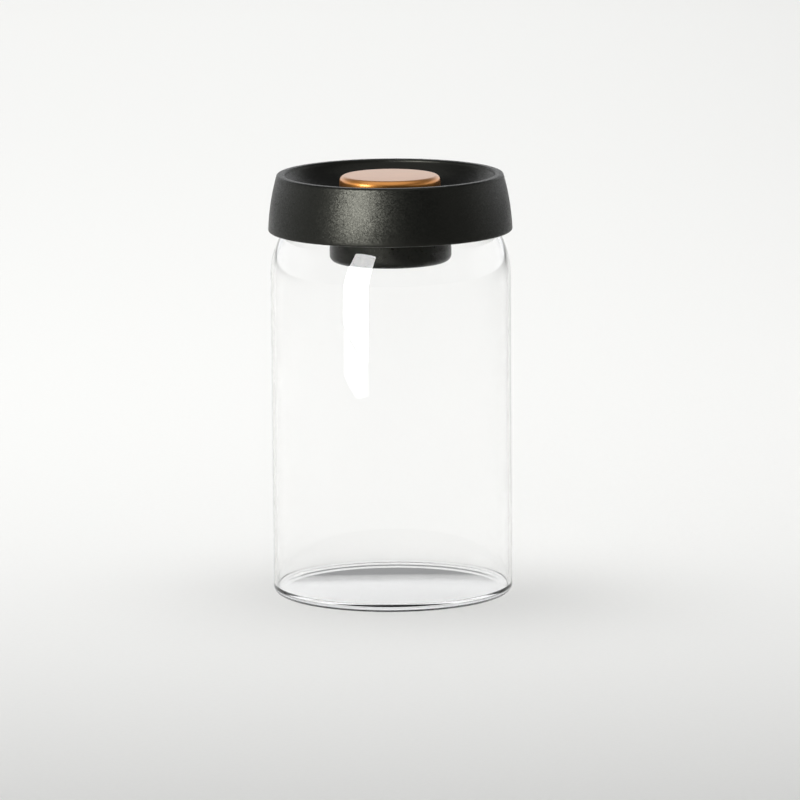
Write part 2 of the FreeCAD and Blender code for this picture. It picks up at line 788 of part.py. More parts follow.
def make_release_plug():
    """Silicone plug on the vent spigot, with a knob to pull it by."""
    rounded_top = "release_top - release_round"
    plug = turned("release_plug", [
        ("0", "release_seat - release_stem_length"),
        ("release_stem", "release_seat - release_stem_length"),
        ("release_stem", "release_seat"),
        ("release_radius", "release_seat"),
        ("release_radius", "release_waist_bottom - release_round"),
        ("release_radius - release_round", "release_waist_bottom", "release_round", "left"),
        ("release_waist", "release_waist_bottom"),
        ("release_waist", "release_knob_bottom"),
        ("release_knob", "release_knob_bottom"),
        ("release_knob", rounded_top),
        ("release_knob - release_round", "release_top", "release_round", "left"),
        ("0", "release_top"),
    ])
    plug.setExpression("Placement.Base.y", bound("-release_circle"))


def coil_place(turns):
    """Return a point of the spring's centre line and its direction there, some turns up from its foot."""
    angle = 2 * math.pi * turns
    along = turns / COIL_TURNS
    ease = COIL_EASE_SHARE / (2 * math.pi)
    radius = value("coil_radius")
    rise = value("piston_bottom - cup_floor_top - coil_wire - 2 * snug_gap")
    foot = value("cup_floor_top + coil_wire / 2 + snug_gap")
    height = foot + rise * (along - ease * math.sin(2 * math.pi * along))
    climb = rise / COIL_TURNS * (1 - COIL_EASE_SHARE * math.cos(2 * math.pi * along))
    point = FreeCAD.Vector(radius * math.cos(angle), radius * math.sin(angle), height)
    around = 2 * math.pi * radius
    slope = FreeCAD.Vector(-around * math.sin(angle), around * math.cos(angle), climb)
    return point, slope.normalize()


def tangent_arc(start, corner, stop):
    """Return the arc between two points whose tangents meet at the corner."""
    middle = (start + stop) / 2
    half = (stop - start).Length / 2
    lean = math.atan2((corner - middle).Length, half)
    sagitta = half * math.tan(lean / 2)
    crest = middle + (corner - middle).normalize() * sagitta
    return Part.Arc(start, crest, stop).toShape()


def biarc(first, last):
    """Return the two tangent arcs that join two points with a direction at each."""
    (start, out), (stop, into) = first, last
    span = stop - start
    both = out + into
    square = 2 * (1 - out.dot(into))
    linear = 2 * span.dot(both)
    reach = (-linear + math.sqrt(linear ** 2 + 4 * square * span.dot(span))) / (2 * square)
    first_corner = start + out * reach
    last_corner = stop - into * reach
    joint = (first_corner + last_corner) / 2
    return [tangent_arc(start, first_corner, joint), tangent_arc(joint, last_corner, stop)]


def coil_self_gap():
    """Return the least gap between turns of the spring, measured on points of its centre line."""
    count = COIL_TURNS * COIL_GAP_SAMPLES_PER_TURN
    points = [coil_place(index / COIL_GAP_SAMPLES_PER_TURN)[0] for index in range(count + 1)]
    apart = COIL_GAP_SAMPLES_PER_TURN // 2
    nearest = min(
        (points[later] - points[earlier]).Length
        for earlier in range(count + 1)
        for later in range(earlier + apart, count + 1)
    )
    return nearest - value("coil_wire")


def make_return_spring():
    """Steel coil between the barrel's floor and the piston, one unbroken wire."""
    count = COIL_TURNS * COIL_ARCS_PER_TURN
    places = [coil_place(index / COIL_ARCS_PER_TURN) for index in range(count + 1)]
    edges = []
    for first, last in zip(places, places[1:]):
        edges += biarc(first, last)
    start, direction = places[0]
    section = Part.Wire(Part.makeCircle(value("coil_wire / 2"), start, direction))
    shell = Part.BRepOffsetAPI.MakePipeShell(Part.Wire(edges))
    shell.add(section)
    shell.build()
    shell.makeSolid()
    spring = doc.addObject("Part::Feature", "return_spring")
    spring.Shape = shell.shape()
    spring.Placement = FreeCAD.Placement()
    PIECES["return_spring"] = spring
    print(f"return_spring: least gap between turns {coil_self_gap():.2f} mm")


def check_pieces():
    """Stop if an object failed, or if a sub-part has no sound shape."""
    doc.recompute()
    failed = [item.Name for item in doc.Objects if {"Invalid", "Error"} & set(item.State)]
    if failed:
        raise RuntimeError(f"failed objects: {failed}")
    for label, piece in PIECES.items():
        if piece.Shape.isNull() or not piece.Shape.isValid() or not piece.Shape.Solids:
            raise RuntimeError(f"{label} has no sound solid")


def write_pieces():
    """Write each sub-part to its own file and print its solids and volume."""
    os.makedirs("parts", exist_ok=True)
    for label, piece in PIECES.items():
        piece.Shape.exportStep(f"parts/{label}.step")
        print(f"{label}: {len(piece.Shape.Solids)} solid, {piece.Shape.Volume:.1f} mm3")


def main():
    """Build the canister from the table outwards and write its sub-parts."""
    fill_sheet()
    make_glass_jar()
    make_lid_shell()
    make_guide_ring()
    make_lid_base()
    make_mouth_gasket()
    screw_set(
        "lid_screws", "lid_screw_circle", "base_flange_bottom", "lid_screw_length",
        LID_SCREW_COUNT, LID_SCREW_TURN,
    )
    make_pump_cylinder()
    make_cylinder_seal()
    make_intake_grille()
    make_valve("intake_valve", "plateau_top", "plateau_web")
    make_return_spring()
    make_piston()
    make_piston_seal()
    make_valve("exhaust_valve", "piston_top", "piston_web")
    screw_set(
        "piston_screws", "piston_screw_circle", "web_bottom", "piston_screw_length",
        PISTON_SCREW_COUNT, PISTON_SCREW_TURN,
    )
    make_button_core()
    make_press_button()
    make_release_plug()
    check_pieces()
    write_pieces()


main()
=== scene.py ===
"""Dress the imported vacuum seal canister: clear jar, spark-textured lid, copper press button and pump."""
import logging
import math
from dataclasses import dataclass, field
from enum import Enum

import bpy
from mathutils import Matrix, Quaternion, Vector


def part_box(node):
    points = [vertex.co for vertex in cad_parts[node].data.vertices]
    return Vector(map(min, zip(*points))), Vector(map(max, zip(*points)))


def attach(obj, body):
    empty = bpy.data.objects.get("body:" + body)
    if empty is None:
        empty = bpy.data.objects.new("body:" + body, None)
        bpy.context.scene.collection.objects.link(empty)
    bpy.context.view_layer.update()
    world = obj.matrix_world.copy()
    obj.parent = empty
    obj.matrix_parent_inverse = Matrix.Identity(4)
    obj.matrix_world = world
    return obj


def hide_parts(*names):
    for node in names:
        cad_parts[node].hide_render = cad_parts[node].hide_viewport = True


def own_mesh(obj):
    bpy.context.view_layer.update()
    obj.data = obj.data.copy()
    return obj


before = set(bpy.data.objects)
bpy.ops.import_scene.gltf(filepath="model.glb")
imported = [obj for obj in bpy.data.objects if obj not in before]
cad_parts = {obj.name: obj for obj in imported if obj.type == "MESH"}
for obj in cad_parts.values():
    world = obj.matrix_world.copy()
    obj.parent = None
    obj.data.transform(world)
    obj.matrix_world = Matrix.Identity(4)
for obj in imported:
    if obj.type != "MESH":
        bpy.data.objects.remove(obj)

LOG = logging.getLogger("canister")
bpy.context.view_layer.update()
FULL_TURN = 2 * math.pi
MERGE_DISTANCE = 1e-6
SMOOTH_ANGLE = math.radians(32)
NOISE_SPAN = (0.3, 0.7)


class Side(Enum):
    """Where an arc's centre lies, seen along the way of the outline."""

    LEFT = 1
    RIGHT = -1


class Body(str, Enum):
    """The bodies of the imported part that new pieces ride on."""

    JAR = "jar"
    LID = "lid"
    BUTTON = "pump_button"
    RELEASE = "release"


class Slot(str, Enum):
    """The record's material slots."""

    GLASS = "glass"
    CHARCOAL = "charcoal_plastic"
    BLACK = "black_plastic"
    SILICONE = "silicone"
    COPPER = "copper"
    STEEL = "steel"


def deselect_all() -> None:
    """Leave no object selected, so that an operator acts on the new piece alone."""
    if bpy.context.mode != "OBJECT":
        bpy.ops.object.mode_set(mode="OBJECT")
    bpy.ops.object.select_all(action="DESELECT")


def make_active(piece: bpy.types.Object) -> None:
    """Select one piece and make it the active one.

    Args:
        piece: The piece that the next operators act on.
    """
    deselect_all()
    piece.select_set(True)
    bpy.context.view_layer.objects.active = piece


def smooth(piece: bpy.types.Object, angle: float = SMOOTH_ANGLE) -> None:
    """Shade a piece smooth, with creases kept sharp.

    Args:
        piece: The finished piece.
        angle: The least angle in radians that stays a crease.
    """
    make_active(piece)
    bpy.ops.object.shade_smooth_by_angle(angle=angle)


def apply_modifier(piece: bpy.types.Object, kind: str, **settings: object) -> None:
    """Add a modifier, set it and apply it.

    Args:
        piece: The piece to change.
        kind: The modifier's type.
        **settings: Its settings by name.
    """
    make_active(piece)
    modifier = piece.modifiers.new(kind.lower(), kind)
    for name, value in settings.items():
        setattr(modifier, name, value)
    bpy.ops.object.modifier_apply(modifier=modifier.name)


@dataclass
class Outline:
    """A half section in radius and height, drawn point by point."""

    points: list[tuple[float, float]] = field(default_factory=list)

    def to(self, radius: float, height: float) -> "Outline":
        """Draw a straight line to a point.

        Args:
            radius: The point's distance from the axis.
            height: The point's height.

        Returns:
            The outline, so that calls can follow each other.
        """
        self.points.append((radius, height))
        return self

    def bow(self, radius: float, height: float, curve: float, side: Side, count: int = 8) -> "Outline":
        """Draw an arc of under a half circle to a point.

        Args:
            radius: The point's distance from the axis.
            height: The point's height.
            curve: The arc's radius.
            side: Where the arc's centre lies, seen along the way.
            count: How many pieces the arc is drawn with.

        Returns:
            The outline, so that calls can follow each other.
        """
        tail, head = Vector(self.points[-1]), Vector((radius, height))
        chord = head - tail
        offset = math.sqrt(max(curve ** 2 - (chord.length / 2) ** 2, 0))
        across = Vector((-chord.y, chord.x)).normalized() * side.value
        centre = (tail + head) / 2 + across * offset
        spoke = tail - centre
        turn = 2 * math.asin(min(chord.length / 2 / curve, 1)) * side.value
        for index in range(1, count):
            angle = turn * index / count
            cosine, sine = math.cos(angle), math.sin(angle)
            self.points.append((
                centre.x + spoke.x * cosine - spoke.y * sine,
                centre.y + spoke.x * sine + spoke.y * cosine,
            ))
        self.points.append((radius, height))
        return self

    def close(self) -> "Outline":
        """Draw a straight line back to the first point."""
        return self.to(*self.points[0])


@dataclass(frozen=True)
class Lathe:
    """Turns outlines about an upright line, the way a section is spun by hand."""

    steps: int = 192

    def turn(
        self, name: str, outline: Outline, centre: tuple[float, float] = (0, 0),
    ) -> bpy.types.Object:
        """Spin an outline into a closed piece.

        Args:
            name: The new piece's name.
            outline: The half section, closed or with both ends on the axis.
            centre: Where the upright line stands.

        Returns:
            The new piece, with its place in its mesh.
        """
        deselect_all()
        bpy.ops.mesh.primitive_plane_add()
        piece = bpy.context.object
        piece.name = name
        bpy.ops.object.mode_set(mode="EDIT")
        bpy.ops.mesh.select_all(action="SELECT")
        bpy.ops.mesh.merge(type="CENTER")
        start = Vector((centre[0] + outline.points[0][0], centre[1], outline.points[0][1]))
        bpy.ops.transform.translate(value=start)
        for tail, head in zip(outline.points, outline.points[1:]):
            step = (head[0] - tail[0], 0, head[1] - tail[1])
            bpy.ops.mesh.extrude_region_move(TRANSFORM_OT_translate={"value": step})
        bpy.ops.mesh.select_all(action="SELECT")
        axis_foot = (centre[0], centre[1], 0)
        bpy.ops.mesh.spin(steps=self.steps, angle=FULL_TURN, center=axis_foot, axis=(0, 0, 1))
        bpy.ops.mesh.select_all(action="SELECT")
        bpy.ops.mesh.remove_doubles(threshold=MERGE_DISTANCE)
        bpy.ops.mesh.normals_make_consistent(inside=False)
        bpy.ops.object.mode_set(mode="OBJECT")
        smooth(piece)
        return piece


class Recipe:
    """A material whose node tree is built one node at a time, in object coordinates."""

    def __init__(self, name: str) -> None:
        """Start from one principled shader.

        Args:
            name: The material's name.
        """
        self.material = bpy.data.materials.new(name)
        self.material.use_nodes = True
        self.tree = self.material.node_tree
        self.shader = self.tree.nodes["Principled BSDF"]
        self.place = self.tree.nodes.new("ShaderNodeTexCoord").outputs["Object"]

    def set(self, **values: object) -> None:
        """Set constants on the shader.

        Args:
            **values: The values by socket, with _ for a space in its name.
        """
        for name, value in values.items():
            self.shader.inputs[name.replace("_", " ")].default_value = value

    def feed(self, socket: str, source: bpy.types.NodeSocket) -> None:
        """Link a source to one of the shader's sockets.

        Args:
            socket: The shader socket's name.
            source: What it takes its value from.
        """
        self.tree.links.new(source, self.shader.inputs[socket])

    def stretched(self, scale: tuple[float, float, float]) -> bpy.types.NodeSocket:
        """Stretch the object coordinates for a drawn or moulded lay.

        Args:
            scale: How many times finer the pattern is along each axis.

        Returns:
            The stretched coordinates.
        """
        mapping = self.tree.nodes.new("ShaderNodeMapping")
        mapping.inputs["Scale"].default_value = scale
        self.tree.links.new(self.place, mapping.inputs["Vector"])
        return mapping.outputs["Vector"]

    def noise(
        self, grain: float, detail: float = 2, place: bpy.types.NodeSocket | None = None,
    ) -> bpy.types.NodeSocket:
        """Add a soft random pattern.

        Args:
            grain: The size of one grain in metres.
            detail: How many finer layers it has.
            place: Where it is read, at the object coordinates if not given.

        Returns:
            The pattern's value, about 0 to 1.
        """
        node = self.tree.nodes.new("ShaderNodeTexNoise")
        node.inputs["Scale"].default_value = 1 / grain
        node.inputs["Detail"].default_value = detail
        self.tree.links.new(place or self.place, node.inputs["Vector"])
        return node.outputs["Fac"]

    def facets(self, grain: float, tilt: float) -> bpy.types.NodeSocket:
        """Tilt the surface at random, grain by grain.

        Args:
            grain: The size of one grain in metres.
            tilt: How far a grain leans, as a share of a unit normal.

        Returns:
            The bent normal.
        """
        cells = self.tree.nodes.new("ShaderNodeTexVoronoi")
        cells.inputs["Scale"].default_value = 1 / grain
        self.tree.links.new(self.place, cells.inputs["Vector"])
        lean = self.tree.nodes.new("ShaderNodeVectorMath")
        lean.operation = "MULTIPLY_ADD"
        lean.inputs[1].default_value = (tilt,) * 3
        self.tree.links.new(cells.outputs["Color"], lean.inputs[0])
        bent = self.tree.nodes.new("ShaderNodeVectorMath")
        bent.operation = "SUBTRACT"
        bent.inputs[1].default_value = (tilt / 2,) * 3
        plain = self.tree.nodes.new("ShaderNodeNewGeometry").outputs["Normal"]
        self.tree.links.new(plain, lean.inputs[2])
        self.tree.links.new(lean.outputs["Vector"], bent.inputs[0])
        unit = self.tree.nodes.new("ShaderNodeVectorMath")
        unit.operation = "NORMALIZE"
        self.tree.links.new(bent.outputs["Vector"], unit.inputs[0])
        return unit.outputs["Vector"]

    def spread(
        self, source: bpy.types.NodeSocket, low: float, high: float,
        span: tuple[float, float] = NOISE_SPAN,
    ) -> bpy.types.NodeSocket:
        """Map a pattern to a range of values.

        Args:
            source: The pattern.
            low: The value at the span's start.
            high: The value at the span's end.
            span: The part of the pattern's range that is used.

        Returns:
            The mapped value.
        """
        node = self.tree.nodes.new("ShaderNodeMapRange")
        for name, value in zip(("From Min", "From Max", "To Min", "To Max"), (*span, low, high)):
            node.inputs[name].default_value = value
        self.tree.links.new(source, node.inputs["Value"])
        return node.outputs["Result"]

    def shades(
        self, source: bpy.types.NodeSocket, dark: tuple[float, ...], light: tuple[float, ...],
        span: tuple[float, float] = NOISE_SPAN,
    ) -> bpy.types.NodeSocket:
        """Map a pattern to colours between two shades.

        Args:
            source: The pattern.
            dark: The linear colour at the span's start.
            light: The linear colour at the span's end.
            span: The part of the pattern's range that is used.

        Returns:
            The colour.
        """
        node = self.tree.nodes.new("ShaderNodeValToRGB")
        for element, place, colour in zip(node.color_ramp.elements, span, (dark, light)):
            element.position = place
            element.color = (*colour, 1)
        self.tree.links.new(source, node.inputs["Fac"])
        return node.outputs["Color"]

    def relief(
        self, source: bpy.types.NodeSocket, depth: float, strength: float,
        under: bpy.types.NodeSocket | None = None,
    ) -> bpy.types.NodeSocket:
        """Turn a pattern into fine relief.

        Args:
            source: The pattern's heights.
            depth: How deep the pattern is in metres.
            strength: How strongly it shows.
            under: A coarser relief that it lies on.

        Returns:
            The bent normal.
        """
        node = self.tree.nodes.new("ShaderNodeBump")
        node.inputs["Distance"].default_value = depth
        node.inputs["Strength"].default_value = strength
        self.tree.links.new(source, node.inputs["Height"])
        if under:
            self.tree.links.new(under, node.inputs["Normal"])
        return node.outputs["Normal"]


@dataclass(frozen=True)
class ClearGlass:
    """Blown borosilicate glass: clear, with faint waves from the blowing."""

    name: str = "clear_glass"
    index: float = 1.47
    glare: float = 0.4
    wave: float = 0.06
    wave_depth: float = 0.0004
    wave_strength: float = 0.05

    def make(self) -> bpy.types.Material:
        """Mix the finish.

        Returns:
            The material.
        """
        recipe = Recipe(self.name)
        recipe.set(Base_Color=(1, 1, 1, 1), Transmission_Weight=1, IOR=self.index, Roughness=0)
        recipe.set(Specular_Tint=(self.glare, self.glare, self.glare, 1))
        waves = recipe.noise(self.wave, detail=1)
        recipe.feed("Normal", recipe.relief(waves, self.wave_depth, self.wave_strength))
        return recipe.material


@dataclass(frozen=True)
class MouldedPlastic:
    """Moulded plastic with the grain of its mould."""

    name: str
    dark: tuple[float, float, float]
    light: tuple[float, float, float]
    gloss: tuple[float, float]
    grain: float
    depth: float
    strength: float
    tilt: float
    specular: float
    cast: tuple[float, float, float] = (1.0, 1.0, 0.86)

    def make(self) -> bpy.types.Material:
        """Mix the finish.

        Returns:
            The material.
        """
        recipe = Recipe(self.name)
        recipe.set(Specular_IOR_Level=self.specular, Specular_Tint=(*self.cast, 1))
        sparks = recipe.noise(self.grain, detail=1)
        recipe.feed("Base Color", recipe.shades(sparks, self.dark, self.light))
        recipe.feed("Roughness", recipe.spread(sparks, *self.gloss))
        facets = recipe.facets(self.grain, self.tilt)
        recipe.feed("Normal", recipe.relief(sparks, self.depth, self.strength, facets))
        return recipe.material


@dataclass(frozen=True)
class SoftSilicone:
    """Moulded silicone: a dull skin with a little light in it."""

    name: str
    dark: tuple[float, float, float]
    light: tuple[float, float, float]
    gloss: tuple[float, float] = (0.5, 0.62)
    grain: float = 0.0005
    depth: float = 0.00001
    strength: float = 0.4
    cloud_grains: float = 20
    specular: float = 0.4
    sheen: float = 0.15

    def make(self) -> bpy.types.Material:
        """Mix the finish.

        Returns:
            The material.
        """
        recipe = Recipe(self.name)
        recipe.set(Specular_IOR_Level=self.specular, Sheen_Weight=self.sheen)
        skin = recipe.noise(self.grain, detail=3)
        cloud = recipe.noise(self.grain * self.cloud_grains)
        recipe.feed("Base Color", recipe.shades(cloud, self.dark, self.light))
        recipe.feed("Roughness", recipe.spread(skin, *self.gloss))
        recipe.feed("Normal", recipe.relief(skin, self.depth, self.strength))
        return recipe.material


@dataclass(frozen=True)
class SatinMetal:
    """Metal with a blasted or drawn satin skin."""

    name: str
    dark: tuple[float, float, float]
    light: tuple[float, float, float]
    gloss: tuple[float, float]
    grain: float
    depth: float
    strength: float
    lay: tuple[float, float, float] = (1, 1, 1)
    cloud_grains: float = 30
    lacquer: float = 0.0
    lacquer_gloss: float = 0.3

    def make(self) -> bpy.types.Material:
        """Mix the finish.

        Returns:
            The material.
        """
        recipe = Recipe(self.name)
        recipe.set(Metallic=1, Coat_Weight=self.lacquer, Coat_Roughness=self.lacquer_gloss)
        skin = recipe.noise(self.grain, detail=3, place=recipe.stretched(self.lay))
        cloud = recipe.noise(self.grain * self.cloud_grains)
        recipe.feed("Base Color", recipe.shades(cloud, self.dark, self.light))
        recipe.feed("Roughness", recipe.spread(skin, *self.gloss))
        recipe.feed("Normal", recipe.relief(skin, self.depth, self.strength))
        return recipe.material


class Finishes:
    """One material for each of the record's slots, and the way pieces are dressed in them."""

    def __init__(self) -> None:
        """Make the materials."""
        self.materials: dict[Slot, bpy.types.Material] = {
            Slot.GLASS: ClearGlass().make(),
            Slot.CHARCOAL: MouldedPlastic(
                "spark_textured_charcoal", (0.0018, 0.0019, 0.0017), (0.0036, 0.0038, 0.0034),
                gloss=(0.29, 0.44), grain=0.00045, depth=0.00003, strength=0.4, tilt=0.12, specular=0.22,
            ).make(),
            Slot.BLACK: MouldedPlastic(
                "satin_black_plastic", (0.0016, 0.0017, 0.0016), (0.0030, 0.0032, 0.0029),
                gloss=(0.27, 0.33), grain=0.0006, depth=0.00003, strength=0.4, tilt=0.05, specular=0.22,
            ).make(),
            Slot.SILICONE: SoftSilicone(
                "grey_silicone", (0.030, 0.031, 0.032), (0.042, 0.043, 0.044),
            ).make(),
            Slot.COPPER: SatinMetal(
                "blasted_copper", (0.75, 0.295, 0.045), (0.83, 0.345, 0.065),
                gloss=(0.36, 0.44), grain=0.0006, depth=0.00004, strength=0.4, lacquer=1.0,
            ).make(),
            Slot.STEEL: SatinMetal(
                "drawn_steel", (0.42, 0.42, 0.43), (0.60, 0.60, 0.61),
                gloss=(0.22, 0.36), grain=0.0004, depth=0.00001, strength=0.3, lay=(1, 1, 6),
            ).make(),
        }

    def dress(self, piece: bpy.types.Object, slot: Slot, body: Body, *nodes: str) -> None:
        """Give a new piece its finish, its body and the CAD nodes that it stands for.

        Args:
            piece: The finished piece.
            slot: The material slot.
            body: The body that it moves with.
            *nodes: The CAD nodes that it replaces.
        """
        piece.data.materials.clear()
        piece.data.materials.append(self.materials[slot])
        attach(piece, body.value)
        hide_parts(*nodes)
        LOG.info("%s: %d faces on %s", piece.name, len(piece.data.polygons), body.value)

    def dress_node(self, node: str, slot: Slot) -> None:
        """Give a CAD node that stays its finish.

        Args:
            node: The node's name.
            slot: The material slot.
        """
        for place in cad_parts[node].material_slots:
            place.material = self.materials[slot]
        LOG.info("%s: kept from the CAD model", node)


def combine(piece: bpy.types.Object, tool: bpy.types.Object, operation: str) -> None:
    """Join a shape to a piece or cut it out of it, and take the shape away.

    Args:
        piece: The piece to change.
        tool: The shape.
        operation: UNION or DIFFERENCE.
    """
    apply_modifier(piece, "BOOLEAN", operation=operation, solver="EXACT", object=tool)
    bpy.data.meshes.remove(tool.data)
    smooth(piece)


def ring_of(piece: bpy.types.Object, count: int) -> bpy.types.Object:
    """Copy a shape evenly about the upright axis and join the copies.

    Args:
        piece: The shape at its first place.
        count: How many there are in all.

    Returns:
        The joined shape.
    """
    copies = [piece]
    for index in range(1, count):
        make_active(piece)
        bpy.ops.object.duplicate()
        copy = bpy.context.object
        copy.data.transform(Matrix.Rotation(FULL_TURN * index / count, 4, "Z"))
        copies.append(copy)
    deselect_all()
    for copy in copies:
        copy.select_set(True)
    bpy.context.view_layer.objects.active = piece
    bpy.ops.object.join()
    return piece


def rod(radius: float, bottom: float, top: float) -> Outline:
    """Draw the half section of a plain rod, for a hole or a boss.

    Args:
        radius: The rod's radius.
        bottom: The height of its foot.
        top: The height of its head.

    Returns:
        The half section.
    """
    return Outline().to(0, bottom).to(radius, bottom).to(radius, top).to(0, top)


@dataclass
class GlassJar:
    """The blown jar: rounded foot, straight wall, drawn-in shoulder and neck."""

    radius: float = 0.0517
    wall: float = 0.0017
    floor: float = 0.0034
    kick: float = 0.0006
    base_round: float = 0.0028
    inner_round: float = 0.0006
    shoulder_start: float = 0.138
    shoulder_round: float = 0.037
    neck_draw: float = 0.0055
    neck_round: float = 0.005
    neck_height: float = 0.00772
    mouth_round: float = 0.0007

    def outline(self) -> Outline:
        """Draw the jar's half section.

        Returns:
            The section, from under the foot over the mouth to the floor inside.
        """
        neck, inner = self.radius - self.neck_draw, self.radius - self.wall
        neck_inner, foot = neck - self.wall, self.radius - self.base_round
        centre, reach = self.radius - self.shoulder_round, self.shoulder_round + self.neck_round
        run = neck + self.neck_round - centre
        rise = math.sqrt(reach ** 2 - run ** 2)
        neck_start, mouth = self.shoulder_start + rise, self.shoulder_start + rise + self.neck_height
        bend, inner_bend = self.shoulder_round / reach, (self.shoulder_round - self.wall) / reach
        kick_round = (foot ** 2 + self.kick ** 2) / (2 * self.kick)
        lip, start = self.mouth_round, self.shoulder_start
        return (
            Outline().to(0, self.kick)
            .bow(foot, 0, kick_round, Side.RIGHT, 10)
            .bow(self.radius, self.base_round, self.base_round, Side.LEFT, 14)
            .to(self.radius, start)
            .bow(centre + run * bend, start + rise * bend, self.shoulder_round, Side.LEFT, 28)
            .bow(neck, neck_start, self.neck_round, Side.RIGHT, 8)
            .to(neck, mouth - lip)
            .bow(neck - lip, mouth, lip, Side.LEFT, 6)
            .to(neck_inner + lip, mouth)
            .bow(neck_inner, mouth - lip, lip, Side.LEFT, 6)
            .to(neck_inner, neck_start)
            .bow(
                centre + run * inner_bend, start + rise * inner_bend,
                self.neck_round + self.wall, Side.LEFT, 8,
            )
            .bow(inner, start, self.shoulder_round - self.wall, Side.RIGHT, 28)
            .to(inner, self.floor + self.inner_round)
            .bow(inner - self.inner_round, self.floor, self.inner_round, Side.RIGHT, 14)
            .to(0, self.floor)
        )

    def build(self, finishes: Finishes) -> None:
        """Blow the jar.

        Args:
            finishes: The materials.
        """
        jar = Lathe(steps=256).turn("jar_glass", self.outline())
        jar.visible_shadow = jar.visible_diffuse = False
        finishes.dress(jar, Slot.GLASS, Body.JAR, "glass_jar")


@dataclass
class LidCover:
    """The charcoal cover: flared skirt, rounded rim, dish, and the guide ring in the dish floor."""

    top: float
    bottom: float
    radius: float
    skirt_lean: float = 0.0036
    skirt_curve: float = 0.1
    skirt_wall: float = 0.0022
    edge_round: float = 0.0008
    rim_round: float = 0.0011
    rim_land: float = 0.0017
    rim_depth: float = 0.0034
    lip_round: float = 0.001
    dish_depth: float = 0.0092
    dish_foot: float = 0.03
    dish_wall: float = 0.0022
    recess: float = 0.027
    recess_depth: float = 0.0018
    bore: float = 0.0241
    floor_foot: float = 0.0276
    floor_bottom_drop: float = 0.013
    boss_circle: float = 0.044
    boss_radius: float = 0.0022
    boss_drop: float = 0.0124
    boss_height: float = 0.007
    boss_count: int = 4
    vent_circle: float = 0.033
    vent_radius: float = 0.0042
    vent_rise: float = 0.0015
    vent_sink: float = 0.00055
    vent_bore: float = 0.0024
    vent_round: float = 0.0003
    ring_bore: float = 0.02205
    ring_sleeve: float = 0.0239
    ring_flange: float = 0.0268
    ring_drop: float = 0.0149
    ring_round: float = 0.0005

    def outline(self) -> Outline:
        """Draw the cover's half section.

        Returns:
            The section, from the skirt's foot over the rim and dish to its underside.
        """
        rim = self.radius - self.skirt_lean
        lip = rim - self.rim_round - self.rim_land - self.lip_round
        lip_bottom = self.top - self.lip_round
        floor, floor_bottom = self.top - self.dish_depth, self.top - self.floor_bottom_drop
        run, rise = lip - self.dish_foot, lip_bottom - floor
        dish_round = (run ** 2 + rise ** 2) / (2 * rise)
        under_round = dish_round + self.dish_wall
        cavity_top = self.top - self.rim_depth
        drop = floor + dish_round - cavity_top
        cavity = self.dish_foot + math.sqrt(under_round ** 2 - drop ** 2)
        inner_curve = self.skirt_curve - self.skirt_wall
        return (
            Outline().to(self.radius - self.skirt_wall, self.bottom)
            .to(self.radius - self.edge_round, self.bottom)
            .bow(self.radius, self.bottom + self.edge_round, self.edge_round, Side.LEFT, 6)
            .bow(rim, self.top - self.rim_round, self.skirt_curve, Side.LEFT, 24)
            .bow(rim - self.rim_round, self.top, self.rim_round, Side.LEFT, 10)
            .to(rim - self.rim_round - self.rim_land, self.top)
            .bow(lip, lip_bottom, self.lip_round, Side.LEFT, 8)
            .bow(self.dish_foot, floor, dish_round, Side.RIGHT, 32)
            .to(self.recess, floor)
            .to(self.recess, floor - self.recess_depth)
            .to(self.bore, floor - self.recess_depth)
            .to(self.bore, floor_bottom)
            .to(self.floor_foot, floor_bottom)
            .to(self.dish_foot, floor - self.dish_wall)
            .bow(cavity, cavity_top, under_round, Side.LEFT, 24)
            .to(rim - self.skirt_wall, cavity_top)
            .bow(self.radius - self.skirt_wall, self.bottom, inner_curve, Side.RIGHT, 20)
        )

    def build(self, finishes: Finishes) -> None:
        """Mould the cover and its guide ring.

        Args:
            finishes: The materials.
        """
        cover = Lathe().turn("lid_cover", self.outline())
        floor = self.top - self.dish_depth
        boss_foot = self.top - self.boss_drop
        section = rod(self.boss_radius, boss_foot, boss_foot + self.boss_height)
        post = Lathe(steps=32).turn("lid_boss", section, (self.boss_circle, 0))
        post.data.transform(Matrix.Rotation(FULL_TURN / self.boss_count / 2, 4, "Z"))
        combine(cover, ring_of(post, self.boss_count), "UNION")
        seat_top, edge = floor + self.vent_rise, self.vent_radius - self.vent_round
        seat_foot = floor - self.vent_sink
        seat = (
            Outline().to(0, seat_foot).to(self.vent_radius, seat_foot)
            .to(self.vent_radius, seat_top - self.vent_round)
            .bow(edge, seat_top, self.vent_round, Side.LEFT, 4).to(0, seat_top)
        )
        place = (0, -self.vent_circle)
        combine(cover, Lathe(steps=64).turn("vent_seat", seat, place), "UNION")
        hole = rod(self.vent_bore, floor - self.dish_depth, floor + self.dish_depth)
        combine(cover, Lathe(steps=48).turn("vent_hole", hole, place), "DIFFERENCE")
        finishes.dress(cover, Slot.CHARCOAL, Body.LID, "lid_shell")
        self.build_ring(finishes, floor)

    def build_ring(self, finishes: Finishes, floor: float) -> None:
        """Turn the guide ring.

        Args:
            finishes: The materials.
            floor: The height of the dish floor.
        """
        bore, ease, under = self.ring_bore, self.ring_round, floor - self.recess_depth
        section = (
            Outline().to(bore, self.top - self.ring_drop).to(self.ring_sleeve, self.top - self.ring_drop)
            .to(self.ring_sleeve, under).to(self.ring_flange, under)
            .to(self.ring_flange, floor - ease / 2)
            .bow(self.ring_flange - ease / 2, floor, ease / 2, Side.LEFT, 4)
            .to(bore + ease, floor)
            .bow(bore, floor - ease, ease, Side.LEFT, 5).close()
        )
        finishes.dress(Lathe().turn("dish_guide_ring", section), Slot.CHARCOAL, Body.LID, "guide_ring")


